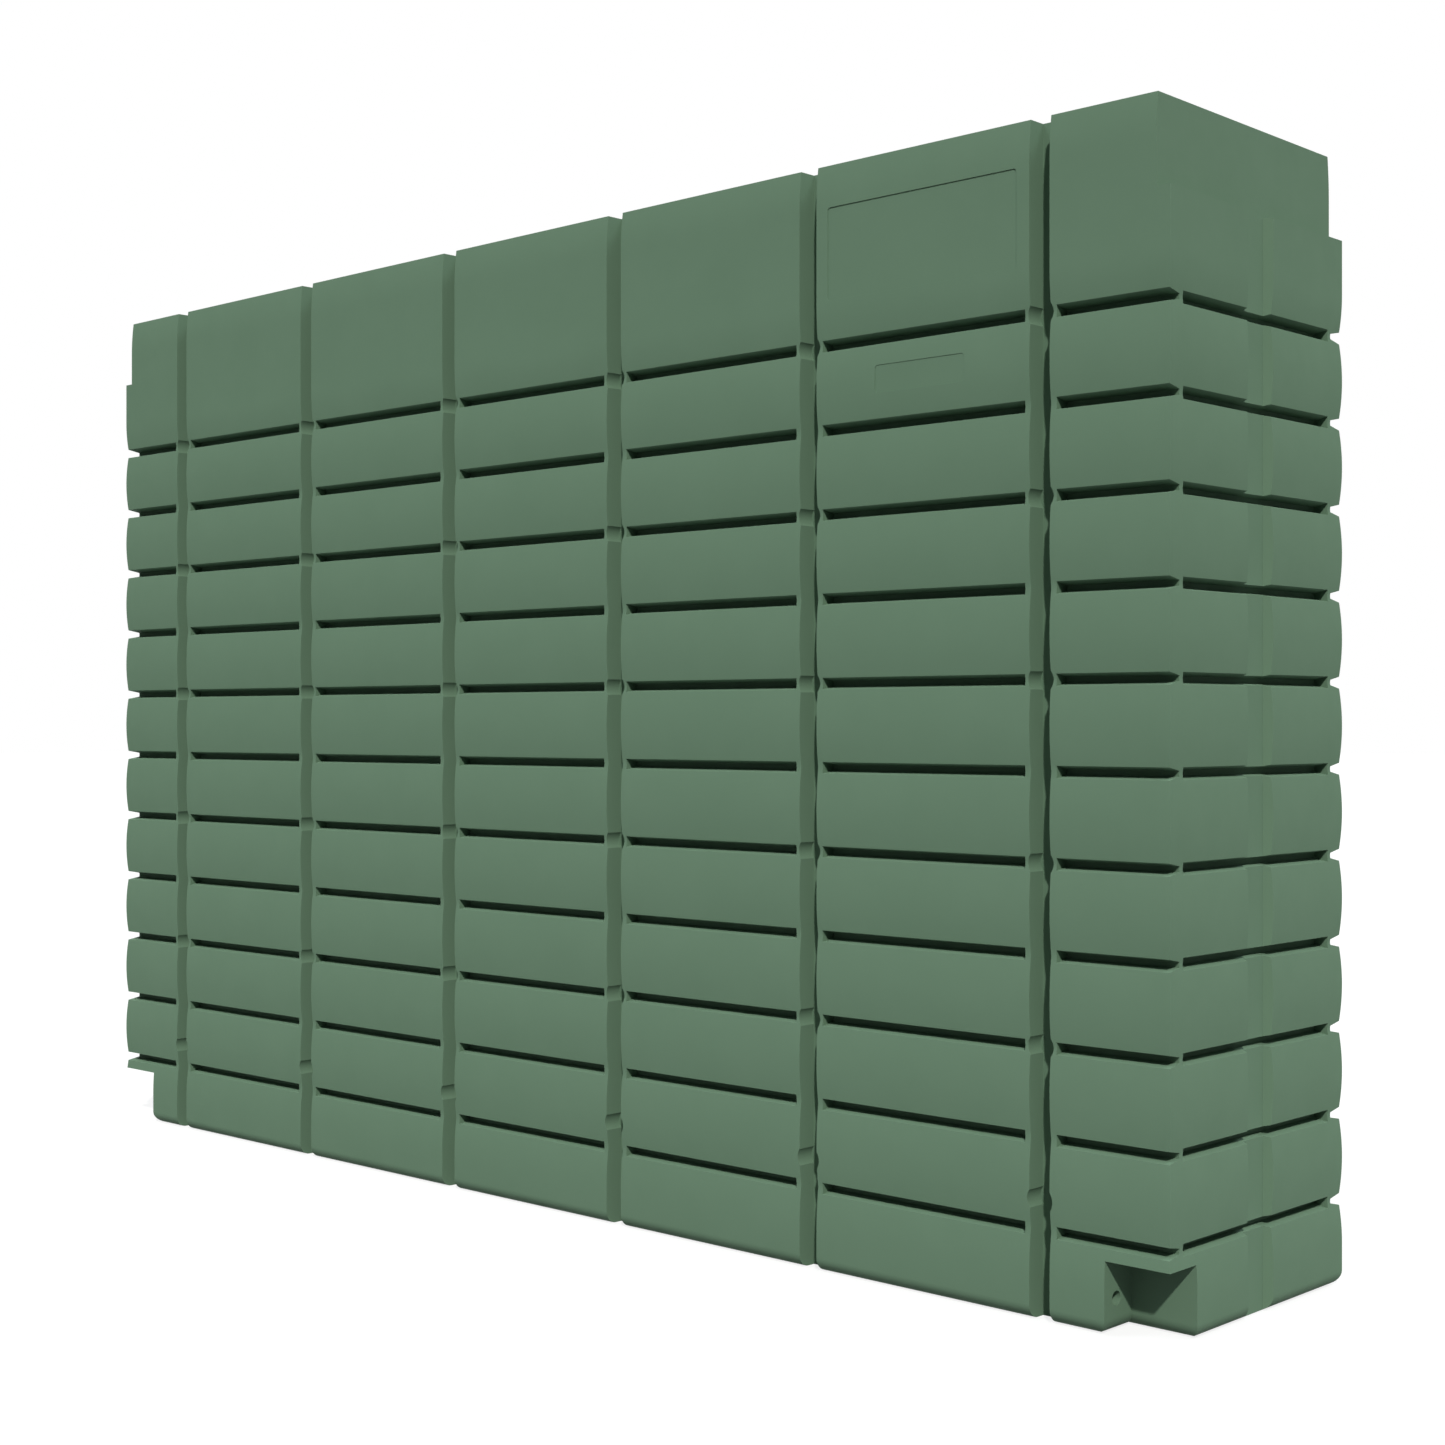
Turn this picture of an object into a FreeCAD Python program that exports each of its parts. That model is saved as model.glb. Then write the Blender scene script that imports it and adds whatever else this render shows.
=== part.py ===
# Slimline water tank: one tall, narrow, hollow moulded body with bulged bands, slots and
# grooves, a leaf strainer in its roof, an overflow socket in one end and two bottom outlets.
# Millimetres. The origin is the middle of the base, +X runs to the end that carries no
# overflow, -Y is the front and +Z is up.
import FreeCAD, Part
import math
import os

V = FreeCAD.Vector

# Overall size of the moulded body
LENGTH = 2993.0
WIDTH = 560.0
HEIGHT = 1970.0
WALL = 5.0

# Bands that stand out between the rows of slots, each an upright face between two slopes
ROW_COUNT = 11
LOWEST_ROW_Z = 149.4
TOP_BAND_HEIGHT = 320.6
BAND_BULGE = 5.0
BAND_SLOPE = 50.0
BAND_BACK_RECESS = 2.5
RIB_MARGIN = 1.0
CROWN_HEIGHT = 75.0
CROWN_RECESS = 5.0

# Rounded lower edge of the base, drawn as a few flats, and the bevel inside it
BASE_RADIUS = 25.0
BASE_FLAT_COUNT = 3
INNER_BEVEL = 12.0

# Slots between the bands
SLOT_HEIGHT = 20.0
SLOT_DEPTH = 34.0
END_SLOT_DEPTH = 30.0
GROOVE_POST = 11.0
CORNER_POST = 10.0

# Upright grooves on the front and the back
GROOVE_COUNT = 6
END_BAY_LENGTH = 246.5
GROOVE_WIDTH = 40.0
GROOVE_DEPTH = 40.0

# Shallow groove down the middle of each end
END_GROOVE_WIDTH = 81.0
END_GROOVE_FLOOR = 66.0
END_GROOVE_DEPTH = 15.0

# Round pockets in the upright grooves, drawn with a few sides
POCKET_DIAMETER = 50.0
POCKET_SIDES = 8
ROW_COUNT_PER_POCKET = 2
LOWEST_POCKET_Z = 198.6

# Bare panels sunk in the front, for a name and for a capacity
PANEL_DEPTH = 1.0
PANEL_CORNER = 5.0
UPPER_PANEL_MARGIN = 26.0
UPPER_PANEL_HEIGHT = 165.0
UPPER_PANEL_DROP = 76.0
LOWER_PANEL_LENGTH = 193.0
LOWER_PANEL_HEIGHT = 48.0
LOWER_PANEL_DROP = 47.0

# Set-back of the top block at both ends
STEP_HEIGHT = 152.0
STEP_INSET = 25.0

# Outlet recesses at the two front bottom corners
NOTCH_LENGTH = 121.5
NOTCH_DEPTH = 80.0
NOTCH_HEIGHT = 120.0
OUTLET_BORE = 24.1
OUTLET_Z = 55.0
OUTLET_BEHIND_FRONT = 35.0
OUTLET_BOSS_MARGIN = 20.0
OUTLET_BOSS_LENGTH = 35.0

# Strainer opening in the roof
INLET_BORE = 302.0
INLET_SEAT_WIDTH = 25.0
INLET_SEAT_HEIGHT = 6.0
BASKET_CLEARANCE = 1.0
BASKET_FLANGE_MARGIN = 4.0
BASKET_FLANGE_THICKNESS = 4.0
BASKET_WALL = 3.0
BASKET_DEPTH = 110.0
BASKET_LEDGE = 14.0
BASKET_RIB = 10.0
LID_MARGIN = 7.0
LID_THICKNESS = 4.0
LID_RIM = 32.0
LID_SLOTS = 5
LID_SLOT_WIDTH = 22.0
MESH_THICKNESS = 1.0
MESH_CLEARANCE = 1.5
MESH_SIDES = 24

# Overflow socket in the left end of the top block, held by an eight-sided head and a nut
OVERFLOW_BORE = 90.4
OVERFLOW_SOCKET_WALL = 4.0
OVERFLOW_SOCKET_LENGTH = 48.0
OVERFLOW_HEAD_WIDTH = 16.8
OVERFLOW_HEAD_THICKNESS = 6.0
OVERFLOW_PAD_MARGIN = 4.0
OVERFLOW_PAD_PROUD = 2.0
OVERFLOW_PAD_THICKNESS = 13.0
OVERFLOW_HOLE_CLEARANCE = 0.5
GASKET_MARGIN = 2.0
GASKET_THICKNESS = 2.0
NUT_WIDTH = 12.7
NUT_THICKNESS = 12.0
NUT_CLEARANCE = 0.1
HEAD_SIDES = 8
SCREEN_THICKNESS = 1.0

# Plug with a hexagon head in the unused outlet
PLUG_CLEARANCE = 0.1
PLUG_SHANK_LENGTH = 26.0
PLUG_HEAD_WIDTH = 6.0
PLUG_HEAD_THICKNESS = 13.0
PLUG_SIDES = 6
SEAL_MARGIN = 1.0
SEAL_THICKNESS = 2.0
SEAL_SIDES = 12

# Slack by which cutting tools run past the faces that they cut
PAST = 2.0

HALF_LENGTH = LENGTH / 2
HALF_WIDTH = WIDTH / 2
ROW_PITCH = (HEIGHT - TOP_BAND_HEIGHT - LOWEST_ROW_Z) / (ROW_COUNT - 1)
ROW_LEVELS = [LOWEST_ROW_Z + ROW_PITCH * row for row in range(ROW_COUNT)]
GROOVE_PITCH = (LENGTH - 2 * END_BAY_LENGTH) / (GROOVE_COUNT - 1)
GROOVE_PLACES = [END_BAY_LENGTH - HALF_LENGTH + GROOVE_PITCH * i for i in range(GROOVE_COUNT)]
POCKET_LEVELS = [LOWEST_POCKET_Z] + ROW_LEVELS[ROW_COUNT_PER_POCKET::ROW_COUNT_PER_POCKET]
LEDGE_Z = HEIGHT - STEP_HEIGHT
BLOCK_HALF_LENGTH = HALF_LENGTH - STEP_INSET
NOTCH_X = HALF_LENGTH - NOTCH_LENGTH
NOTCH_Y = NOTCH_DEPTH - HALF_WIDTH
SEAT_TOP = HEIGHT + INLET_SEAT_HEIGHT
INLET_SEAT = INLET_BORE + 2 * INLET_SEAT_WIDTH
BASKET_FLANGE = INLET_SEAT - 2 * BASKET_FLANGE_MARGIN
BASKET_OUTSIDE = INLET_BORE - 2 * BASKET_CLEARANCE
BASKET_INSIDE = BASKET_OUTSIDE - 2 * BASKET_WALL
BASKET_FLOOR_Z = SEAT_TOP - BASKET_DEPTH
OVERFLOW_Z = LEDGE_Z + STEP_HEIGHT / 2
OVERFLOW_TUBE = OVERFLOW_BORE + 2 * OVERFLOW_SOCKET_WALL
OVERFLOW_HOLE = OVERFLOW_TUBE + 2 * OVERFLOW_HOLE_CLEARANCE
OVERFLOW_HEAD = OVERFLOW_TUBE + 2 * OVERFLOW_HEAD_WIDTH
PAD_FACE_X = -(BLOCK_HALF_LENGTH + OVERFLOW_PAD_PROUD)
HEAD_SEAT_X = PAD_FACE_X - GASKET_THICKNESS
SOCKET_END_X = HEAD_SEAT_X + OVERFLOW_SOCKET_LENGTH
PLUG_HEAD = OUTLET_BORE + 2 * PLUG_HEAD_WIDTH


def box(low, high):
    """A box between two opposite corners."""
    size = [b - a for a, b in zip(low, high)]
    return Part.makeBox(size[0], size[1], size[2], V(*low))


def rod(diameter, length, base, axis):
    """A cylinder that starts at base and runs along axis."""
    return Part.makeCylinder(diameter / 2, length, V(*base), V(*axis))


def prism(sides, across, length, base, axis):
    """A bar with a few flat sides, as wide across them as stated, that runs along axis."""
    way = V(*axis)
    up = V(0, 0, 1) if way.z == 0 else V(0, 1, 0)
    side = way.cross(up)
    radius = across / 2 / math.cos(math.pi / sides)
    corners = []
    for i in range(sides):
        angle = 2 * math.pi * (i + 0.5) / sides
        corners.append(V(*base) + side * (radius * math.cos(angle)) + up * (radius * math.sin(angle)))
    return Part.Face(Part.makePolygon(corners + corners[:1])).extrude(way * length)


def mirror_x(shape):
    """The same shape at the other end of the tank."""
    return shape.mirror(V(0, 0, 0), V(1, 0, 0))


def mirror_y(shape):
    """The same shape on the other long side of the tank."""
    return shape.mirror(V(0, 0, 0), V(0, 1, 0))


def rounded_corner(centre, radius, flats):
    """Points round a lower right corner, from its lowest to its outermost."""
    angles = [math.pi / 2 * i / flats for i in range(flats + 1)]
    return [(centre[0] + radius * math.sin(a), centre[1] - radius * math.cos(a)) for a in angles]


def outside_points(half, block_half):
    """Right edge of the upright section from floor to roof, as (across, up) pairs."""
    points = rounded_corner((half - BASE_RADIUS, BASE_RADIUS), BASE_RADIUS, BASE_FLAT_COUNT)
    for level in ROW_LEVELS:
        points.append((half, level - BAND_SLOPE))
        points.append((half - BAND_BULGE, level))
        points.append((half, level + BAND_SLOPE))
    if block_half < half:
        points.append((half, LEDGE_Z))
        points.append((block_half, LEDGE_Z))
    points.append((block_half, HEIGHT - CROWN_HEIGHT))
    points.append((block_half - CROWN_RECESS, HEIGHT))
    return points


def inside_points(half, block_half, rib_depth):
    """Right edge of the space's section; the slotted bands stand in as one thick stretch."""
    reach = half - WALL
    back = reach - BAND_BACK_RECESS
    ridge = half - rib_depth - WALL
    gap = SLOT_HEIGHT / 2 + WALL
    points = [
        (reach - INNER_BEVEL, WALL),
        (back, WALL + INNER_BEVEL),
        (back, ROW_LEVELS[0] - gap),
        (ridge, ROW_LEVELS[0] - gap),
        (ridge, ROW_LEVELS[-1] + gap),
        (back, ROW_LEVELS[-1] + gap),
    ]
    if block_half < half:
        points.append((back, LEDGE_Z - WALL))
        points.append((block_half - WALL, LEDGE_Z - WALL))
        points.append((block_half - WALL, HEIGHT - CROWN_HEIGHT))
    points.append((block_half - CROWN_RECESS - WALL, HEIGHT - WALL))
    return points


def section(points):
    """The closed upright section whose left edge mirrors its right one."""
    right = [V(u, 0, z) for u, z in points]
    left = [V(-u, 0, z) for u, z in reversed(points)]
    return Part.Face(Part.makePolygon(right + left + right[:1]))


def crossed(along, across):
    """Where a section run across the tank and a section run along it agree."""
    along.translate(V(0, -HALF_WIDTH, 0))
    across.rotate(V(0, 0, 0), V(0, 0, 1), 90)
    across.translate(V(-HALF_LENGTH, 0, 0))
    return along.extrude(V(0, WIDTH, 0)).common(across.extrude(V(LENGTH, 0, 0)))


def front_slots():
    """Cutters of every slot on the front; the outer ones run out through the ends."""
    edges = [-HALF_LENGTH - PAST] + GROOVE_PLACES + [HALF_LENGTH + PAST]
    side = GROOVE_WIDTH / 2 + GROOVE_POST
    cutters = []
    for level in ROW_LEVELS:
        for bay in range(GROOVE_COUNT + 1):
            start = edges[bay] + (side if bay > 0 else 0)
            end = edges[bay + 1] - (side if bay < GROOVE_COUNT else 0)
            low = (start, -HALF_WIDTH - PAST, level - SLOT_HEIGHT / 2)
            high = (end, SLOT_DEPTH - HALF_WIDTH, level + SLOT_HEIGHT / 2)
            cutters.append(box(low, high))
    return cutters


def end_slots():
    """Cutters of the slots across the right end."""
    reach = HALF_WIDTH - SLOT_DEPTH - CORNER_POST
    cutters = []
    for level in ROW_LEVELS:
        low = (HALF_LENGTH - END_SLOT_DEPTH, -reach, level - SLOT_HEIGHT / 2)
        high = (HALF_LENGTH + PAST, reach, level + SLOT_HEIGHT / 2)
        cutters.append(box(low, high))
    return cutters


def front_grooves(half, depth):
    """Upright cutters along the front's grooves."""
    low_y = -HALF_WIDTH - PAST
    floor = depth - HALF_WIDTH
    return [box((x - half, low_y, -PAST), (x + half, floor, HEIGHT + PAST)) for x in GROOVE_PLACES]


def front_pockets():
    """Cutters of the pockets in the front grooves, as deep as the grooves."""
    start = -HALF_WIDTH - PAST
    reach = GROOVE_DEPTH + PAST
    places = [(x, start, z) for x in GROOVE_PLACES for z in POCKET_LEVELS]
    return [prism(POCKET_SIDES, POCKET_DIAMETER, reach, place, (0, 1, 0)) for place in places]


def end_groove(grow):
    """Shallow groove with slanted sides down the middle of the right end."""
    slant = (END_GROOVE_WIDTH - END_GROOVE_FLOOR) / 2 / END_GROOVE_DEPTH
    mouth = END_GROOVE_WIDTH / 2 + grow + slant * PAST
    floor = END_GROOVE_FLOOR / 2 + grow
    outer = HALF_LENGTH + PAST
    inner = HALF_LENGTH - END_GROOVE_DEPTH - grow
    outline = [(outer, -mouth), (inner, -floor), (inner, floor), (outer, mouth)]
    corners = [V(x, y, -PAST) for x, y in outline]
    face = Part.Face(Part.makePolygon(corners + corners[:1]))
    return face.extrude(V(0, 0, HEIGHT + 2 * PAST))


def notch(grow, radius, flats):
    """Cutter of the right front corner recess, with the base's lower edge carried round it.
    It is drawn at the origin and moved to the corner last."""
    curve = rounded_corner((-radius, radius), radius, flats)
    corners = [V(u, 0, z) for u, z in [(0, 0)] + list(reversed(curve))]
    strip = Part.Face(Part.makePolygon(corners + corners[:1]))
    reach_x = NOTCH_LENGTH + grow + PAST
    reach_y = NOTCH_DEPTH + grow + PAST
    strip.translate(V(0, radius, 0))
    along_y = strip.extrude(V(0, -reach_y - radius, 0))
    strip.translate(V(0, -radius, 0))
    strip.rotate(V(0, 0, 0), V(0, 0, 1), -90)
    strip.translate(V(-radius, 0, 0))
    along_x = strip.extrude(V(reach_x + radius, 0, 0))
    corner = along_x.common(along_y)
    room = box((0, -reach_y, -PAST - grow), (reach_x, 0, NOTCH_HEIGHT))
    side_y = along_y.common(box((-radius, -reach_y, 0), (0, 0, radius)))
    side_x = along_x.common(box((0, 0, 0), (reach_x, radius, radius)))
    cutter = room.fuse([side_y, side_x, corner])
    cutter.translate(V(NOTCH_X - grow, NOTCH_Y + grow, grow))
    return cutter


def outlet_centre():
    """Middle of the right outlet on its recess wall."""
    return (NOTCH_X, OUTLET_BEHIND_FRONT - HALF_WIDTH, OUTLET_Z)


def outlet_boss():
    """Thick block inside the recess wall that the right outlet passes through."""
    x, y, z = outlet_centre()
    half = OUTLET_BORE / 2 + OUTLET_BOSS_MARGIN
    return box((x - OUTLET_BOSS_LENGTH, y - half, z - half), (x, y + half, z + half))


def overflow_pad():
    """Flat thick square in the left end wall that the overflow socket clamps to."""
    half = OVERFLOW_HEAD / 2 + OVERFLOW_PAD_MARGIN
    low = (PAD_FACE_X, -half, OVERFLOW_Z - half)
    high = (PAD_FACE_X + OVERFLOW_PAD_THICKNESS, half, OVERFLOW_Z + half)
    return box(low, high)


def panel(length, height, low_z):
    """Cutter of a shallow bare panel in the front of the last full bay."""
    middle = GROOVE_PLACES[-1] - GROOVE_PITCH / 2
    right, top, cut = length / 2, height / 2, PANEL_CORNER
    quarter = [(right, top - cut), (right - cut, top)]
    half = quarter + [(-u, w) for u, w in reversed(quarter)]
    outline = half + [(-u, -w) for u, w in half]
    corners = [V(middle + u, -HALF_WIDTH - PAST, low_z + top + w) for u, w in outline]
    return Part.Face(Part.makePolygon(corners + corners[:1])).extrude(V(0, PANEL_DEPTH + PAST, 0))


def panels():
    """The two bare panels, on the top band and on the band below it."""
    upper_length = GROOVE_PITCH - GROOVE_WIDTH - 2 * UPPER_PANEL_MARGIN
    upper_z = HEIGHT - UPPER_PANEL_DROP - UPPER_PANEL_HEIGHT
    lower_z = ROW_LEVELS[-1] - LOWER_PANEL_DROP - LOWER_PANEL_HEIGHT
    upper = panel(upper_length, UPPER_PANEL_HEIGHT, upper_z)
    lower = panel(LOWER_PANEL_LENGTH, LOWER_PANEL_HEIGHT, lower_z)
    return [upper, lower]


def both_ends(shapes):
    """The right end's shapes and their mirror images."""
    return shapes + [mirror_x(shape) for shape in shapes]


def both_sides(shapes):
    """The front's shapes and their mirror images on the back."""
    return shapes + [mirror_y(shape) for shape in shapes]


def outer_form():
    """The moulded body as a solid block with every outside feature."""
    along = section(outside_points(HALF_LENGTH, BLOCK_HALF_LENGTH))
    form = crossed(along, section(outside_points(HALF_WIDTH, HALF_WIDTH)))
    form = form.cut(both_sides(front_grooves(GROOVE_WIDTH / 2, GROOVE_DEPTH) + front_slots()))
    form = form.cut(front_pockets())
    form = form.cut(both_ends(end_slots()))
    recess = notch(0, BASE_RADIUS, BASE_FLAT_COUNT)
    form = form.cut(both_ends([end_groove(0), recess]) + panels())
    seat = rod(INLET_SEAT, INLET_SEAT_HEIGHT + WALL, (0, 0, HEIGHT - WALL), (0, 0, 1))
    return form.fuse([seat, overflow_pad()])


def inner_space():
    """The space for water, with the wall thickened behind the slotted bands and the grooves."""
    along = section(inside_points(HALF_LENGTH, BLOCK_HALF_LENGTH, END_SLOT_DEPTH))
    space = crossed(along, section(inside_points(HALF_WIDTH, HALF_WIDTH, GROOVE_DEPTH + RIB_MARGIN)))
    ridge_half = POCKET_DIAMETER / 2 + WALL
    space = space.cut(both_sides(front_grooves(ridge_half, GROOVE_DEPTH + WALL)))
    recess = notch(WALL, INNER_BEVEL, 1)
    space = space.cut(both_ends([end_groove(WALL), recess]))
    return space.cut(both_ends([outlet_boss()]) + [overflow_pad()])


def tank_body():
    """The one-piece hollow tank."""
    x, y, z = outlet_centre()
    outlet = rod(OUTLET_BORE, OUTLET_BOSS_LENGTH + 2 * PAST, (x + PAST, y, z), (-1, 0, 0))
    roof = INLET_SEAT_HEIGHT + WALL + 2 * PAST
    inlet = rod(INLET_BORE, roof, (0, 0, HEIGHT - WALL - PAST), (0, 0, 1))
    wall = OVERFLOW_PAD_THICKNESS + 2 * PAST
    overflow = rod(OVERFLOW_HOLE, wall, (PAD_FACE_X - PAST, 0, OVERFLOW_Z), (1, 0, 0))
    return outer_form().cut(inner_space()).cut(both_ends([outlet]) + [inlet, overflow])


def basket():
    """Leaf basket that hangs in the roof opening by its flange; crossed ribs floor it."""
    height = BASKET_DEPTH + BASKET_FLANGE_THICKNESS
    tube = rod(BASKET_OUTSIDE, height, (0, 0, BASKET_FLOOR_Z), (0, 0, 1))
    flange = rod(BASKET_FLANGE, BASKET_FLANGE_THICKNESS, (0, 0, SEAT_TOP), (0, 0, 1))
    hollow = rod(BASKET_INSIDE, height, (0, 0, BASKET_FLOOR_Z + BASKET_WALL), (0, 0, 1))
    near = BASKET_RIB / 2
    far = (BASKET_INSIDE / 2 - BASKET_LEDGE) / math.sqrt(2)
    low_z, high_z = BASKET_FLOOR_Z - PAST, BASKET_FLOOR_Z + BASKET_WALL + PAST
    window = box((near, near, low_z), (far, far, high_z))
    windows = both_ends([window]) + [mirror_y(shape) for shape in both_ends([window])]
    return tube.fuse(flange).cut([hollow] + windows)


def basket_mesh():
    """Disc of fine mesh that lies on the basket's floor."""
    across = BASKET_INSIDE - 2 * MESH_CLEARANCE
    return prism(MESH_SIDES, across, MESH_THICKNESS, (0, 0, BASKET_FLOOR_Z + BASKET_WALL), (0, 0, 1))


def inlet_lid():
    """Slotted light guard that lies on the basket's flange."""
    diameter = BASKET_FLANGE - 2 * LID_MARGIN
    z = SEAT_TOP + BASKET_FLANGE_THICKNESS
    lid = rod(diameter, LID_THICKNESS, (0, 0, z), (0, 0, 1))
    reach = diameter / 2 - LID_RIM
    pitch = 2 * reach / LID_SLOTS
    slots = []
    for i in range(LID_SLOTS):
        y = pitch * (i - (LID_SLOTS - 1) / 2)
        half = math.sqrt(reach ** 2 - (abs(y) + LID_SLOT_WIDTH / 2) ** 2)
        low = (-half, y - LID_SLOT_WIDTH / 2, z - PAST)
        high = (half, y + LID_SLOT_WIDTH / 2, z + LID_THICKNESS + PAST)
        slots.append(box(low, high))
    return lid.cut(slots)


def overflow_socket():
    """Pipe socket with an eight-sided head, which passes through the end wall from outside."""
    face = (HEAD_SEAT_X - OVERFLOW_HEAD_THICKNESS, 0, OVERFLOW_Z)
    length = OVERFLOW_HEAD_THICKNESS + OVERFLOW_SOCKET_LENGTH
    tube = rod(OVERFLOW_TUBE, length, face, (1, 0, 0))
    head = prism(HEAD_SIDES, OVERFLOW_HEAD, OVERFLOW_HEAD_THICKNESS, face, (1, 0, 0))
    return tube.fuse(head).cut(rod(OVERFLOW_BORE, length, face, (1, 0, 0)))


def overflow_gasket():
    """Rubber ring between the socket's head and the tank's pad."""
    base = (HEAD_SEAT_X, 0, OVERFLOW_Z)
    outside = prism(HEAD_SIDES, OVERFLOW_HEAD - 2 * GASKET_MARGIN, GASKET_THICKNESS, base, (1, 0, 0))
    return outside.cut(prism(HEAD_SIDES, OVERFLOW_HOLE, GASKET_THICKNESS, base, (1, 0, 0)))


def overflow_nut():
    """Eight-sided back nut on the socket, inside the tank."""
    base = (PAD_FACE_X + OVERFLOW_PAD_THICKNESS, 0, OVERFLOW_Z)
    inside = OVERFLOW_TUBE + 2 * NUT_CLEARANCE
    nut = prism(HEAD_SIDES, inside + 2 * NUT_WIDTH, NUT_THICKNESS, base, (1, 0, 0))
    return nut.cut(rod(inside, NUT_THICKNESS, base, (1, 0, 0)))


def overflow_screen():
    """Piece of fine mesh across the socket's inner end, its corners at the tube's outside."""
    across = OVERFLOW_TUBE * math.cos(math.pi / HEAD_SIDES)
    return prism(HEAD_SIDES, across, SCREEN_THICKNESS, (SOCKET_END_X, 0, OVERFLOW_Z), (1, 0, 0))


def outlet_plug():
    """Threaded plug with a hexagon head in the left outlet."""
    x, y, z = outlet_centre()
    seat = (x + SEAL_THICKNESS, y, z)
    length = PLUG_SHANK_LENGTH + SEAL_THICKNESS
    shank = rod(OUTLET_BORE - 2 * PLUG_CLEARANCE, length, seat, (-1, 0, 0))
    head = prism(PLUG_SIDES, PLUG_HEAD, PLUG_HEAD_THICKNESS, seat, (1, 0, 0))
    return mirror_x(shank.fuse(head))


def outlet_seal():
    """Rubber washer under the plug's head."""
    base = outlet_centre()
    outside = prism(SEAL_SIDES, PLUG_HEAD - 2 * SEAL_MARGIN, SEAL_THICKNESS, base, (1, 0, 0))
    return mirror_x(outside.cut(prism(SEAL_SIDES, OUTLET_BORE, SEAL_THICKNESS, base, (1, 0, 0))))


PARTS = {
    "tank_body": tank_body,
    "inlet_basket": basket,
    "inlet_mesh": basket_mesh,
    "inlet_lid": inlet_lid,
    "overflow_socket": overflow_socket,
    "overflow_gasket": overflow_gasket,
    "overflow_nut": overflow_nut,
    "overflow_screen": overflow_screen,
    "outlet_plug": outlet_plug,
    "outlet_seal": outlet_seal,
}

os.makedirs("parts", exist_ok=True)
for name, make in PARTS.items():
    shape = make()
    shape.exportStep("parts/" + name + ".step")
    print(name, len(shape.Solids), shape.isValid())
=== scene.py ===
import bmesh
import bpy
import math
from mathutils import Matrix, Vector


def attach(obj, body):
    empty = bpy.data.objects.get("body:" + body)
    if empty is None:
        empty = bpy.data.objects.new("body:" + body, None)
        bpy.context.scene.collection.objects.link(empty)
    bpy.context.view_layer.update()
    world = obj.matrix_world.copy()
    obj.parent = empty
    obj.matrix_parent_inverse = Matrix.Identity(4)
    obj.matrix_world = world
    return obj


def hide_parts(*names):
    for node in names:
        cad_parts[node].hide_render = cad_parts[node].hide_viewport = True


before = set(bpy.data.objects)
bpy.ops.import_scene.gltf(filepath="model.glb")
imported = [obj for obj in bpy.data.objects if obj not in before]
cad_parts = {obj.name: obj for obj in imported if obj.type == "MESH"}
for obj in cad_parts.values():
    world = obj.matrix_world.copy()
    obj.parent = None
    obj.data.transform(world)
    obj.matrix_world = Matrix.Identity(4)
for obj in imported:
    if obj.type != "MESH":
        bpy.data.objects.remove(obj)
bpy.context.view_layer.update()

# Lengths are in millimetres and are scaled once, when a mesh is made, but names that end in _M are in metres
MM = 0.001
# How far a cutter stands out past the face that it cuts
PAST = 2.0

# Moulded body
HALF_LENGTH = 1496.5
HALF_WIDTH = 280.0
HEIGHT = 1970.0
WALL = 5.0
ROW_LEVELS = [149.4 + 150.0 * row for row in range(11)]
GROOVE_PLACES = [500.0 * (i - 2.5) for i in range(6)]
POCKET_LEVELS = [198.6] + ROW_LEVELS[2::2]
BAND_BULGE = 5.0
BAND_REACH = 75.0
BAND_STEPS = 8
CROWN_RECESS = 5.0
BASE_RADIUS = 25.0
BASE_STEPS = 8
# Rings of the face that come closer than this to the one below are left out
LEAST_STEP = 0.5
SLOT_HALF_HEIGHT = 10.0
SLOT_FLOOR_HALF = 4.6
SLOT_DEPTH = 34.0
# The rings of the face keep this far away from a slot's middle, apart from the one on it
SLOT_CLEAR = 14.0
END_SLOT_DEPTH = 30.0
GROOVE_POST = 11.0
CORNER_POST = 10.0
GROOVE_HALF_WIDTH = 20.0
GROOVE_DEPTH = 40.0
END_GROOVE_HALF = 40.5
END_GROOVE_FLOOR_HALF = 33.0
END_GROOVE_DEPTH = 15.0
POCKET_RADIUS = 25.0
POCKET_STEPS = 40
LEDGE_Z = 1820.0
STEP_INSET = 25.0
NOTCH_LENGTH = 121.5
NOTCH_DEPTH = 80.0
NOTCH_HEIGHT = 120.0

# Space for water
INNER_BEVEL = 12.0
BAND_BACK_RECESS = 2.5
RIB_MARGIN = 1.0

# Eased edges of the body and of the small pieces, with the angles in degrees
EDGE_ANGLE = 28.0
BODY_EDGE_RADIUS = 0.4
BODY_EDGE_STEPS = 2
SMALL_EDGE_STEPS = 3
MERGE_DISTANCE = 0.01
FLAT_ANGLE = 0.5

# Bare panels on the front: middle x, length, lowest z, height
PANELS = [(1000.0, 408.0, 1729.0, 165.0), (1000.0, 193.0, 1554.4, 48.0)]
PANEL_DEPTH = 1.5
PANEL_CORNER = 6.0
CORNER_STEPS = 6

# Openings
OUTLET_RADIUS = 12.05
OUTLET_STEPS = 40
OUTLET_BOSS_HALF = 32.05
OUTLET_BOSS_LENGTH = 35.0
OUTLET_Y = 35.0 - HALF_WIDTH
OUTLET_Z = 55.0
INLET_RADIUS = 151.0
INLET_STEPS = 128
INLET_SEAT_RADIUS = 176.0
SEAT_TOP = 1976.0
OVERFLOW_Z = 1894.0
OVERFLOW_PAD_HALF = 70.0
OVERFLOW_PAD_CORNER = 8.0
OVERFLOW_PAD_PROUD = 2.0
OVERFLOW_PAD_THICKNESS = 13.0
OVERFLOW_HOLE_RADIUS = 49.7
OVERFLOW_STEPS = 96
OVERFLOW_PAD_FACE = -(HALF_LENGTH - STEP_INSET + OVERFLOW_PAD_PROUD)


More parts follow.
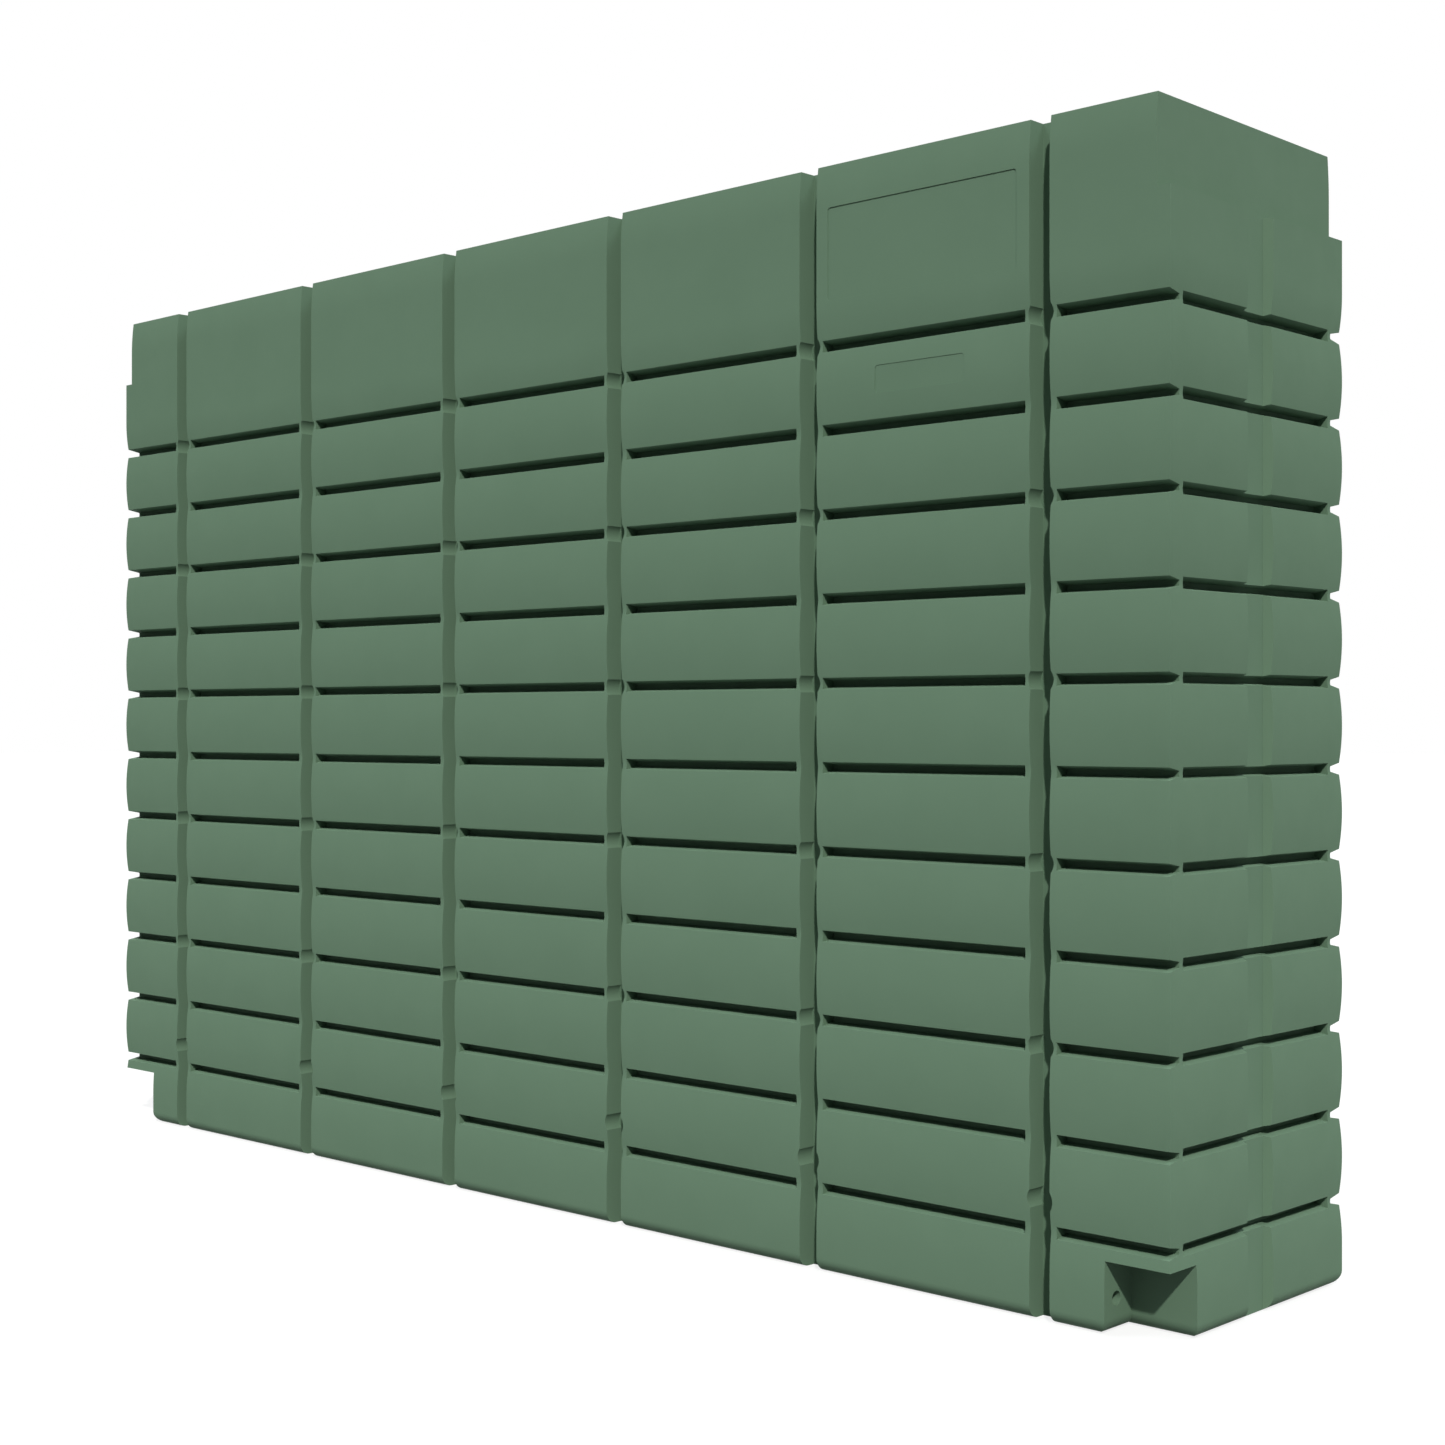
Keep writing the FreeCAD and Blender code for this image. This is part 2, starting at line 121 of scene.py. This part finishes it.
def linked(name, data):
    """An object in the scene that shows a mesh, a lamp or a camera."""
    piece = bpy.data.objects.new(name, data)
    bpy.context.scene.collection.objects.link(piece)
    return piece


def from_bmesh(name, bm):
    """An object made from a bmesh drawn in millimetres."""
    bmesh.ops.recalc_face_normals(bm, faces=bm.faces)
    bm.transform(Matrix.Scale(MM, 4))
    mesh = bpy.data.meshes.new(name)
    bm.to_mesh(mesh)
    bm.free()
    return linked(name, mesh)


def add_rings(bm, rings):
    """Closed skin through rings of equally many points, capped at the first and the last."""
    rows = [[bm.verts.new(p) for p in ring] for ring in rings]
    for low, high in zip(rows, rows[1:]):
        count = len(low)
        for i in range(count):
            bm.faces.new((low[i], low[(i + 1) % count], high[(i + 1) % count], high[i]))
    bm.faces.new(list(reversed(rows[0])))
    bm.faces.new(rows[-1])


def rectangle(z, low, high):
    """Corners of a level rectangle."""
    return [(low[0], low[1], z), (high[0], low[1], z), (high[0], high[1], z), (low[0], high[1], z)]


def add_box(bm, low, high):
    """A box between two opposite corners."""
    add_rings(bm, [rectangle(low[2], low, high), rectangle(high[2], low, high)])


def add_rod(bm, radius, start, end, segments):
    """A round bar between two points on a line along one axis."""
    axis = (Vector(end) - Vector(start)).normalized()
    side = Vector((0, 0, 1)) if abs(axis.z) < 0.5 else Vector((0, 1, 0))
    across = axis.cross(side)
    rings = []
    for middle in (Vector(start), Vector(end)):
        ring = []
        for i in range(segments):
            angle = 2 * math.pi * (i + 0.5) / segments
            ring.append(middle + radius * (math.cos(angle) * side + math.sin(angle) * across))
        rings.append(ring)
    add_rings(bm, rings)


def cutter(draw, *args):
    """A hidden object drawn by one of the functions below."""
    bm = bmesh.new()
    draw(bm, *args)
    return from_bmesh("cutter", bm)


def apply_modifiers(piece):
    """Keeps what the modifiers make as the piece's own mesh."""
    graph = bpy.context.evaluated_depsgraph_get()
    made = bpy.data.meshes.new_from_object(piece.evaluated_get(graph))
    old = piece.data
    piece.modifiers.clear()
    piece.data = made
    bpy.data.meshes.remove(old)


def carve(piece, tool, operation="DIFFERENCE"):
    """Cuts or joins a tool into a piece and removes the tool."""
    change = piece.modifiers.new("carve", "BOOLEAN")
    change.operation = operation
    change.object = tool
    change.solver = "EXACT"
    apply_modifiers(piece)
    mesh = tool.data
    bpy.data.objects.remove(tool)
    bpy.data.meshes.remove(mesh)


def band_recess(z):
    """How far the face stands back at a height: bulged bands that meet at the slots."""
    nearest = min(ROW_LEVELS, key=lambda level: abs(level - z))
    away = min(abs(z - nearest) / BAND_REACH, 1.0)
    return BAND_BULGE * (1 - away) ** 2


def base_curve():
    """Heights and recesses of the rounded lower edge, from the floor up."""
    angles = [math.pi / 2 * i / BASE_STEPS for i in range(BASE_STEPS + 1)]
    return [(BASE_RADIUS * (1 - math.cos(a)), BASE_RADIUS * (1 - math.sin(a))) for a in angles]


def outside_levels():
    """Heights and recesses of the face, from the floor to the roof."""
    levels = base_curve()
    for row in ROW_LEVELS:
        heights = {row}
        for i in range(BAND_STEPS + 1):
            step = SLOT_CLEAR + (BAND_REACH - SLOT_CLEAR) * i / BAND_STEPS
            heights.update((round(row - step, 4), round(row + step, 4)))
        for z in sorted(heights):
            if z - levels[-1][0] > LEAST_STEP:
                levels.append((z, band_recess(z)))
    crown = HEIGHT - BAND_REACH
    for i in range(BAND_STEPS + 1):
        rise = i / BAND_STEPS
        levels.append((crown + BAND_REACH * rise, CROWN_RECESS * rise ** 2))
    return levels


def draw_block(bm):
    """The body without slots, grooves or openings; the top block's ends stand straight up."""
    inset = HALF_LENGTH - STEP_INSET
    rings = []
    for z, recess in outside_levels():
        deep = HALF_WIDTH - recess
        if z > LEDGE_Z and rings[-1][0][2] < LEDGE_Z:
            rings.append(rectangle(LEDGE_Z, (-HALF_LENGTH, -deep), (HALF_LENGTH, deep)))
            rings.append(rectangle(LEDGE_Z, (-inset, -deep), (inset, deep)))
        half = inset if z > LEDGE_Z else HALF_LENGTH - recess
        rings.append(rectangle(z, (-half, -deep), (half, deep)))
    add_rings(bm, rings)


def slot_section(depth):
    """Section of a slot as (inwards, up) pairs: it narrows from the face to its floor."""
    slant = (SLOT_HALF_HEIGHT - SLOT_FLOOR_HALF) / (depth - BAND_BULGE)
    mouth = SLOT_HALF_HEIGHT + slant * (BAND_BULGE + PAST)
    return [(-PAST, -mouth), (depth, -SLOT_FLOOR_HALF), (depth, SLOT_FLOOR_HALF), (-PAST, mouth)]


def draw_grooves(bm):
    """Upright grooves on the front and the back."""
    outer, floor = HALF_WIDTH + PAST, HALF_WIDTH - GROOVE_DEPTH
    for x in GROOVE_PLACES:
        for low_y, high_y in ((-outer, -floor), (floor, outer)):
            low = (x - GROOVE_HALF_WIDTH, low_y, -PAST)
            add_box(bm, low, (x + GROOVE_HALF_WIDTH, high_y, HEIGHT + PAST))


def draw_pockets(bm):
    """Round pockets on the grooves, as deep as they are."""
    outer, floor = HALF_WIDTH + PAST, HALF_WIDTH - GROOVE_DEPTH
    for x in GROOVE_PLACES:
        for z in POCKET_LEVELS:
            add_rod(bm, POCKET_RADIUS, (x, -outer, z), (x, -floor, z), POCKET_STEPS)


def draw_side_slots(bm):
    """Slots between the bands on the front and the back; the outer ones run out at the ends."""
    edges = [-HALF_LENGTH - PAST] + GROOVE_PLACES + [HALF_LENGTH + PAST]
    side = GROOVE_HALF_WIDTH + GROOVE_POST
    section = slot_section(SLOT_DEPTH)
    for level in ROW_LEVELS:
        for bay in range(len(edges) - 1):
            start = edges[bay] + (side if bay > 0 else 0)
            end = edges[bay + 1] - (side if bay < len(edges) - 2 else 0)
            for sign in (-1, 1):
                outline = [(sign * (HALF_WIDTH - inward), level + up) for inward, up in section]
                add_rings(bm, [[(x, y, z) for y, z in outline] for x in (start, end)])


def draw_end_slots(bm):
    """Slots across both ends."""
    reach = HALF_WIDTH - SLOT_DEPTH - CORNER_POST
    section = slot_section(END_SLOT_DEPTH)
    for level in ROW_LEVELS:
        for sign in (-1, 1):
            outline = [(sign * (HALF_LENGTH - inward), level + up) for inward, up in section]
            add_rings(bm, [[(x, y, z) for x, z in outline] for y in (-reach, reach)])


def draw_end_grooves(bm, grow=0.0):
    """Shallow groove with slanted sides down the middle of each end."""
    slant = (END_GROOVE_HALF - END_GROOVE_FLOOR_HALF) / END_GROOVE_DEPTH
    mouth = END_GROOVE_HALF + grow + slant * PAST
    floor = END_GROOVE_FLOOR_HALF + grow
    for sign in (-1, 1):
        outer = sign * (HALF_LENGTH + PAST)
        inner = sign * (HALF_LENGTH - END_GROOVE_DEPTH - grow)
        rings = []
        for z in (-PAST, HEIGHT + PAST):
            rings.append([(outer, -mouth, z), (outer, mouth, z), (inner, floor, z), (inner, -floor, z)])
        add_rings(bm, rings)


def draw_notches(bm, grow=0.0):
    """Recesses at the two front bottom corners, with the base's rounded edge carried round."""
    wall_x = HALF_LENGTH - NOTCH_LENGTH - grow
    wall_y = NOTCH_DEPTH - HALF_WIDTH + grow
    levels = [(-PAST, BASE_RADIUS)] + base_curve() + [(NOTCH_HEIGHT + grow, 0.0)]
    for sign in (-1, 1):
        rings = []
        for z, flare in levels:
            xs = sorted((sign * (wall_x - flare), sign * (HALF_LENGTH + PAST)))
            rings.append(rectangle(z, (xs[0], -HALF_WIDTH - PAST), (xs[1], wall_y + flare)))
        add_rings(bm, rings)


def rounded_outline(width, height, radius):
    """Outline of a rectangle with rounded corners about its middle."""
    outline = []
    for corner in range(4):
        across = (width / 2 - radius) * (1 if corner in (0, 3) else -1)
        up = (height / 2 - radius) * (1 if corner in (0, 1) else -1)
        for i in range(CORNER_STEPS + 1):
            angle = math.pi / 2 * (corner + i / CORNER_STEPS)
            outline.append((across + radius * math.cos(angle), up + radius * math.sin(angle)))
    return outline


def draw_panels(bm):
    """Shallow bare panels with rounded corners."""
    for middle, length, low_z, height in PANELS:
        outline = rounded_outline(length, height, PANEL_CORNER)
        rings = []
        for y in (-HALF_WIDTH - PAST, PANEL_DEPTH - HALF_WIDTH):
            rings.append([(middle + across, y, low_z + height / 2 + up) for across, up in outline])
        add_rings(bm, rings)


def draw_space(bm):
    """The space for water, narrow along the slotted rows."""
    reach_x, reach_y = HALF_LENGTH - WALL, HALF_WIDTH - WALL
    top_x = reach_x - STEP_INSET
    back_x, back_y = reach_x - BAND_BACK_RECESS, reach_y - BAND_BACK_RECESS
    rib_x, rib_y = reach_x - END_SLOT_DEPTH, reach_y - GROOVE_DEPTH - RIB_MARGIN
    shaded_gap = SLOT_HALF_HEIGHT + WALL
    low_row, high_row = ROW_LEVELS[0] - shaded_gap, ROW_LEVELS[-1] + shaded_gap
    levels = [
        (WALL, reach_x - INNER_BEVEL, reach_y - INNER_BEVEL),
        (WALL + INNER_BEVEL, back_x, back_y),
        (low_row, back_x, back_y),
        (low_row, rib_x, rib_y),
        (high_row, rib_x, rib_y),
        (high_row, back_x, back_y),
        (LEDGE_Z - WALL, back_x, back_y),
        (LEDGE_Z - WALL, top_x, back_y),
        (HEIGHT - BAND_REACH, top_x, back_y),
        (HEIGHT - WALL, top_x, reach_y - CROWN_RECESS),
    ]
    add_rings(bm, [rectangle(z, (-x, -y), (x, y)) for z, x, y in levels])


def draw_ridges(bm):
    """Walls round the upright grooves, seen from inside."""
    half, floor = POCKET_RADIUS + WALL, HALF_WIDTH - GROOVE_DEPTH - WALL
    for x in GROOVE_PLACES:
        for low_y, high_y in ((-HALF_WIDTH - PAST, -floor), (floor, HALF_WIDTH + PAST)):
            add_box(bm, (x - half, low_y, -PAST), (x + half, high_y, HEIGHT + PAST))


def draw_bosses(bm):
    """Thick blocks inside the recess walls round the outlets."""
    half = OUTLET_BOSS_HALF
    for sign in (-1, 1):
        x = sign * (HALF_LENGTH - NOTCH_LENGTH)
        low_x, high_x = sorted((x, x - sign * OUTLET_BOSS_LENGTH))
        low = (low_x, OUTLET_Y - half, OUTLET_Z - half)
        add_box(bm, low, (high_x, OUTLET_Y + half, OUTLET_Z + half))


def draw_pad(bm):
    """Flat thick square that the overflow socket clamps to."""
    outline = rounded_outline(2 * OVERFLOW_PAD_HALF, 2 * OVERFLOW_PAD_HALF, OVERFLOW_PAD_CORNER)
    xs = (OVERFLOW_PAD_FACE, OVERFLOW_PAD_FACE + OVERFLOW_PAD_THICKNESS)
    add_rings(bm, [[(x, y, OVERFLOW_Z + up) for y, up in outline] for x in xs])


def draw_seat(bm):
    """Raised ring round the inlet."""
    add_rod(bm, INLET_SEAT_RADIUS, (0, 0, HEIGHT - WALL), (0, 0, SEAT_TOP), INLET_STEPS)


def draw_bores(bm):
    """Holes of the outlets, the inlet and the overflow."""
    for sign in (-1, 1):
        x = sign * (HALF_LENGTH - NOTCH_LENGTH)
        near = (x + sign * PAST, OUTLET_Y, OUTLET_Z)
        far = (x - sign * (OUTLET_BOSS_LENGTH + PAST), OUTLET_Y, OUTLET_Z)
        add_rod(bm, OUTLET_RADIUS, near, far, OUTLET_STEPS)
    add_rod(bm, INLET_RADIUS, (0, 0, HEIGHT - WALL - PAST), (0, 0, SEAT_TOP + PAST), INLET_STEPS)
    near = (OVERFLOW_PAD_FACE - PAST, 0, OVERFLOW_Z)
    far = (OVERFLOW_PAD_FACE + OVERFLOW_PAD_THICKNESS + PAST, 0, OVERFLOW_Z)
    add_rod(bm, OVERFLOW_HOLE_RADIUS, near, far, OVERFLOW_STEPS)


def tank_body():
    """The one-piece moulded body, hollow."""
    space = cutter(draw_space)
    for tool in (draw_ridges, draw_bosses, draw_pad):
        carve(space, cutter(tool))
    for tool in (draw_end_grooves, draw_notches):
        carve(space, cutter(tool, WALL))
    body = cutter(draw_block)
    body.name = "moulded_body"
    carve(body, cutter(draw_seat), "UNION")
    carve(body, cutter(draw_pad), "UNION")
    cuts = (draw_grooves, draw_side_slots, draw_end_slots, draw_pockets, draw_end_grooves)
    for tool in cuts + (draw_notches, draw_panels):
        carve(body, cutter(tool))
    carve(body, space)
    carve(body, cutter(draw_bores))
    return body


def ease_edges(piece, radius, steps, angle):
    """Small rounding of every sharp edge, with the faces between left flat to the eye."""
    bevel = piece.modifiers.new("ease", "BEVEL")
    bevel.width = radius * MM
    bevel.segments = steps
    bevel.limit_method = "ANGLE"
    bevel.angle_limit = math.radians(angle)
    bevel.harden_normals = True
    bevel.use_clamp_overlap = True
    piece.data.polygons.foreach_set("use_smooth", [True] * len(piece.data.polygons))
    apply_modifiers(piece)


def linear(channel):
    """A screen colour channel from 0 to 255 as light."""
    value = channel / 255
    return value / 12.92 if value <= 0.04045 else ((value + 0.055) / 1.055) ** 2.4


def colour(red, green, blue):
    """A screen colour as the shader takes it."""
    return (linear(red), linear(green), linear(blue), 1.0)


WHITE = (1.0, 1.0, 1.0, 1.0)
# Where a noise texture has most of its values
NOISE_LOW, NOISE_HIGH = 0.3, 0.7
# Sockets of a Mix node for colours
MIX_FACTOR, MIX_FIRST, MIX_SECOND, MIX_RESULT = 0, 6, 7, 2
# Moulded skin: its height, how far the gloss strays, and how much finer its spots are than the colour's
SKIN_HEIGHT_M = 0.0006
SMOOTHER, ROUGHER = 0.05, 0.07
GLOSS_SPOTS = 3.0
# Wire cloth: how high the wires stand, where the gap (painted dark as the shade seen through the holes) ends
# and the wire starts on the waves, from 0 to 1
WIRE_HEIGHT_M = 0.0005
SHADED_GAP_END, WIRE_START = 0.35, 0.75
# A wave texture turns by this many radians in a metre at scale 1
WAVE_TURN = 20.0


class Nodes:
    """Short way to add and join the shader nodes of one material or world."""

    def __init__(self, owner):
        """Starts with an empty tree."""
        owner.use_nodes = True
        self.tree = owner.node_tree
        self.tree.nodes.clear()

    def add(self, kind, sockets=None, **settings):
        """A new node with some of its sockets and settings given."""
        node = self.tree.nodes.new("ShaderNode" + kind)
        for name, value in settings.items():
            setattr(node, name, value)
        for name, value in (sockets or {}).items():
            node.inputs[name].default_value = value
        return node

    def join(self, source, target):
        """A link from an output to an input."""
        self.tree.links.new(source, target)


def noise(nodes, coordinates, scale, detail, roughness=0.5):
    """A noise texture on the object's own coordinates."""
    texture = nodes.add("TexNoise", {"Scale": scale, "Detail": detail, "Roughness": roughness})
    nodes.join(coordinates, texture.inputs["Vector"])
    return texture.outputs["Fac"]


def ranged(nodes, source, start, end, low, high):
    """Maps start to low and end to high, with nothing beyond either."""
    change = nodes.add("MapRange", {"From Min": start, "From Max": end, "To Min": low, "To Max": high})
    nodes.join(source, change.inputs["Value"])
    return change.outputs["Result"]


def largest(nodes, sources):
    """The largest of several values."""
    top = sources[0]
    for source in sources[1:]:
        both = nodes.add("Math", operation="MAXIMUM")
        nodes.join(top, both.inputs[0])
        nodes.join(source, both.inputs[1])
        top = both.outputs[0]
    return top


def finish_surface(nodes, shader, height, strength, distance):
    """Gives a shader a bump and makes it the material's surface."""
    bump = nodes.add("Bump", {"Strength": strength, "Distance": distance})
    nodes.join(height, bump.inputs["Height"])
    nodes.join(bump.outputs["Normal"], shader.inputs["Normal"])
    nodes.join(shader.outputs["BSDF"], nodes.add("OutputMaterial").inputs["Surface"])


def plastic(name, dark, light, rough, specular, grain, depth, patch):
    """Moulded material: mottled colour, uneven gloss and a fine skin."""
    material = bpy.data.materials.new(name)
    nodes = Nodes(material)
    place = nodes.add("TexCoord").outputs["Object"]
    shader = nodes.add("BsdfPrincipled", {"Specular IOR Level": specular})
    mix = nodes.add("Mix", {MIX_FIRST: dark, MIX_SECOND: light}, data_type="RGBA")
    mottle = noise(nodes, place, patch, 5.0, 0.6)
    nodes.join(ranged(nodes, mottle, NOISE_LOW, NOISE_HIGH, 0.0, 1.0), mix.inputs[MIX_FACTOR])
    nodes.join(mix.outputs[MIX_RESULT], shader.inputs["Base Color"])
    gloss = noise(nodes, place, patch * GLOSS_SPOTS, 3.0)
    uneven = ranged(nodes, gloss, NOISE_LOW, NOISE_HIGH, rough - SMOOTHER, rough + ROUGHER)
    nodes.join(uneven, shader.inputs["Roughness"])
    finish_surface(nodes, shader, noise(nodes, place, grain, 3.0), depth, SKIN_HEIGHT_M)
    return material


def woven_steel(name, pitch_m):
    """Fine wire cloth: bright crossing wires over gaps painted dark as the shade seen through the holes."""
    material = bpy.data.materials.new(name)
    nodes = Nodes(material)
    place = nodes.add("TexCoord").outputs["Object"]
    shader = nodes.add("BsdfPrincipled", {"Roughness": 0.4})
    waves = []
    for direction in ("X", "Y", "Z"):
        sockets = {"Scale": 1.0 / pitch_m / WAVE_TURN * 2 * math.pi, "Distortion": 0.0}
        wave = nodes.add("TexWave", sockets, bands_direction=direction)
        nodes.join(place, wave.inputs["Vector"])
        waves.append(wave.outputs["Fac"])
    cloth = largest(nodes, waves)
    ramp = nodes.add("ValToRGB")
    shaded_gap, wire = ramp.color_ramp.elements
    # Painted shade: the gaps get a dark colour in place of the shade seen through the cloth's open holes
    shaded_gap.position, shaded_gap.color = SHADED_GAP_END, colour(30, 32, 33)
    wire.position, wire.color = WIRE_START, colour(165, 168, 170)
    nodes.join(cloth, ramp.inputs["Fac"])
    nodes.join(ramp.outputs["Color"], shader.inputs["Base Color"])
    nodes.join(ranged(nodes, cloth, SHADED_GAP_END, WIRE_START, 0.0, 1.0), shader.inputs["Metallic"])
    finish_surface(nodes, shader, cloth, 0.6, WIRE_HEIGHT_M)
    return material


def wear(piece, material):
    """Gives a piece one material."""
    piece.data.materials.clear()
    piece.data.materials.append(material)


def eased_copy(node, radius):
    """A piece with a node's own form and softened edges, which stands for the node."""
    bm = bmesh.new()
    bm.from_mesh(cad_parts[node].data)
    bmesh.ops.remove_doubles(bm, verts=bm.verts, dist=MERGE_DISTANCE * MM)
    bmesh.ops.dissolve_limit(bm, angle_limit=math.radians(FLAT_ANGLE), verts=bm.verts, edges=bm.edges)
    mesh = bpy.data.meshes.new(node + "_eased")
    bm.to_mesh(mesh)
    bm.free()
    piece = linked(node + "_eased", mesh)
    ease_edges(piece, radius, SMALL_EDGE_STEPS, EDGE_ANGLE)
    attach(piece, "root")
    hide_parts(node)
    return piece


MATERIALS = {
    "green_polyethylene": plastic(
        "green",
        dark=colour(95, 120, 100),
        light=colour(97, 122, 102),
        rough=0.68,
        specular=0.06,
        grain=900.0,
        depth=0.25,
        patch=9.0,
    ),
    "black_plastic": plastic(
        "black",
        dark=colour(20, 21, 22),
        light=colour(28, 29, 30),
        rough=0.52,
        specular=0.3,
        grain=1400.0,
        depth=0.2,
        patch=30.0,
    ),
    "grey_plastic": plastic(
        "grey",
        dark=colour(128, 132, 134),
        light=colour(138, 142, 144),
        rough=0.45,
        specular=0.35,
        grain=1600.0,
        depth=0.12,
        patch=30.0,
    ),
    "black_rubber": plastic(
        "rubber",
        dark=colour(17, 17, 17),
        light=colour(24, 24, 24),
        rough=0.75,
        specular=0.3,
        grain=1200.0,
        depth=0.3,
        patch=40.0,
    ),
    "steel_mesh": woven_steel("mesh", pitch_m=0.0016),
}
# Material of each fitting
FINISH = {
    "inlet_basket": "black_plastic",
    "inlet_lid": "black_plastic",
    "inlet_mesh": "steel_mesh",
    "overflow_socket": "grey_plastic",
    "overflow_gasket": "black_rubber",
    "overflow_nut": "grey_plastic",
    "overflow_screen": "steel_mesh",
    "outlet_plug": "black_plastic",
    "outlet_seal": "black_rubber",
}
# Radius of the eased edges of each fitting that has them
EASED = {
    "inlet_basket": 0.5,
    "inlet_lid": 0.9,
    "overflow_socket": 0.9,
    "overflow_nut": 1.0,
    "overflow_gasket": 0.3,
    "outlet_plug": 0.8,
    "outlet_seal": 0.3,
}

body = tank_body()
ease_edges(body, BODY_EDGE_RADIUS, BODY_EDGE_STEPS, EDGE_ANGLE)
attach(body, "root")
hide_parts("tank_body")
wear(body, MATERIALS["green_polyethylene"])
for node, finish in FINISH.items():
    wear(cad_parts[node], MATERIALS[finish])
for node, radius in EASED.items():
    piece = eased_copy(node, radius)
    wear(piece, MATERIALS[FINISH[node]])

# Studio: size of the floor, what it and the sky give to the object, and where the floor's share fades
FLOOR_REACH = 60000.0
FLOOR_THICKNESS = 20.0
FLOOR_WHITE = (0.9, 0.9, 0.9, 1.0)
FLOOR_GLOW = 0.8
BOUNCE_NEAR, BOUNCE_FAR = 0.24, 0.05
FADE_START_M, FADE_END_M = 2.0, 6.0
SKY_COLOUR = (0.88, 0.95, 1.0, 1.0)
SKY_STRENGTH = 0.55


def show(nodes, light, picture, output):
    """Ends a tree: a shader for the light it gives, and another for the eye, direct or reflected."""
    path = nodes.add("LightPath")
    rays = ("Is Camera Ray", "Is Glossy Ray", "Is Transmission Ray")
    pick = nodes.add("MixShader")
    nodes.join(largest(nodes, [path.outputs[ray] for ray in rays]), pick.inputs["Fac"])
    nodes.join(light, pick.inputs[1])
    nodes.join(picture, pick.inputs[2])
    nodes.join(pick.outputs["Shader"], nodes.add(output).inputs["Surface"])


# Floor: white to the eye with the shadow kept; what it throws back fades away from the tank
bm = bmesh.new()
add_box(bm, (-FLOOR_REACH, -FLOOR_REACH, -FLOOR_THICKNESS), (FLOOR_REACH, FLOOR_REACH, 0.0))
floor = from_bmesh("floor", bm)
paper = bpy.data.materials.new("floor")
nodes = Nodes(paper)
away = nodes.add("VectorMath", operation="LENGTH")
nodes.join(nodes.add("TexCoord").outputs["Object"], away.inputs[0])
pale = nodes.add("BsdfDiffuse")
bounce = ranged(nodes, away.outputs["Value"], FADE_START_M, FADE_END_M, BOUNCE_NEAR, BOUNCE_FAR)
nodes.join(bounce, pale.inputs["Color"])
shown = nodes.add("BsdfDiffuse", {"Color": FLOOR_WHITE})
glow = nodes.add("Emission", {"Color": WHITE, "Strength": 1.0})
white = nodes.add("MixShader", {"Fac": FLOOR_GLOW})
nodes.join(shown.outputs["BSDF"], white.inputs[1])
nodes.join(glow.outputs["Emission"], white.inputs[2])
show(nodes, pale.outputs["BSDF"], white.outputs["Shader"], "OutputMaterial")
wear(floor, paper)

# World: white where it is seen; elsewhere a weak light that comes mostly from above
world = bpy.data.worlds.new("studio")
bpy.context.scene.world = world
nodes = Nodes(world)
split = nodes.add("SeparateXYZ")
nodes.join(nodes.add("TexCoord").outputs["Generated"], split.inputs[0])
soft = nodes.add("Background", {"Color": SKY_COLOUR})
nodes.join(ranged(nodes, split.outputs["Z"], 0.0, 1.0, 0.0, SKY_STRENGTH), soft.inputs["Strength"])
bright = nodes.add("Background", {"Color": WHITE, "Strength": 1.0})
show(nodes, soft.outputs["Background"], bright.outputs["Background"], "OutputWorld")


def add_sun(name, towards, energy, width, tint, glossy=False):
    """Distant lamp that shines along a direction; width is how soft it is, in degrees."""
    sun = bpy.data.lights.new(name, "SUN")
    sun.energy = energy
    sun.angle = math.radians(width)
    sun.color = tint
    lamp = linked(name, sun)
    lamp.rotation_mode = "QUATERNION"
    lamp.rotation_quaternion = Vector(towards).to_track_quat("-Z", "Y")
    lamp.visible_glossy = glossy


# Key from the front, the right and above; two wide steep fills; one for the far sides
WARM = (1.0, 0.99, 0.92)
COOL = (0.93, 0.97, 1.05)
add_sun("key", (-1.0, 1.0, -1.19), energy=3.4, width=2.0, tint=WARM, glossy=True)
add_sun("fill_front", (0.5, 0.6, -0.9), energy=1.0, width=20.0, tint=COOL)
add_sun("fill_end", (-0.6, -0.4, -0.9), energy=0.9, width=20.0, tint=COOL)
add_sun("fill_far", (0.5, -0.7, -0.25), energy=2.0, width=40.0, tint=(1.0, 1.0, 1.0))

# Camera at the photograph's place and angle, in metres and degrees, level with the horizon
CAMERA_PLACE_M = (3.3182, -3.2435, 0.980)
CAMERA_TURN = 43.148
CAMERA_TILT = 90.0
view = bpy.data.cameras.new("camera")
view.sensor_width = 36.0
view.lens = 54.52
view.clip_start = 0.05
view.clip_end = 300.0
camera = linked("camera", view)
camera.location = CAMERA_PLACE_M
camera.rotation_euler = (math.radians(CAMERA_TILT), 0.0, math.radians(CAMERA_TURN))
bpy.context.scene.camera = camera
bpy.context.scene.view_settings.view_transform = "Standard"
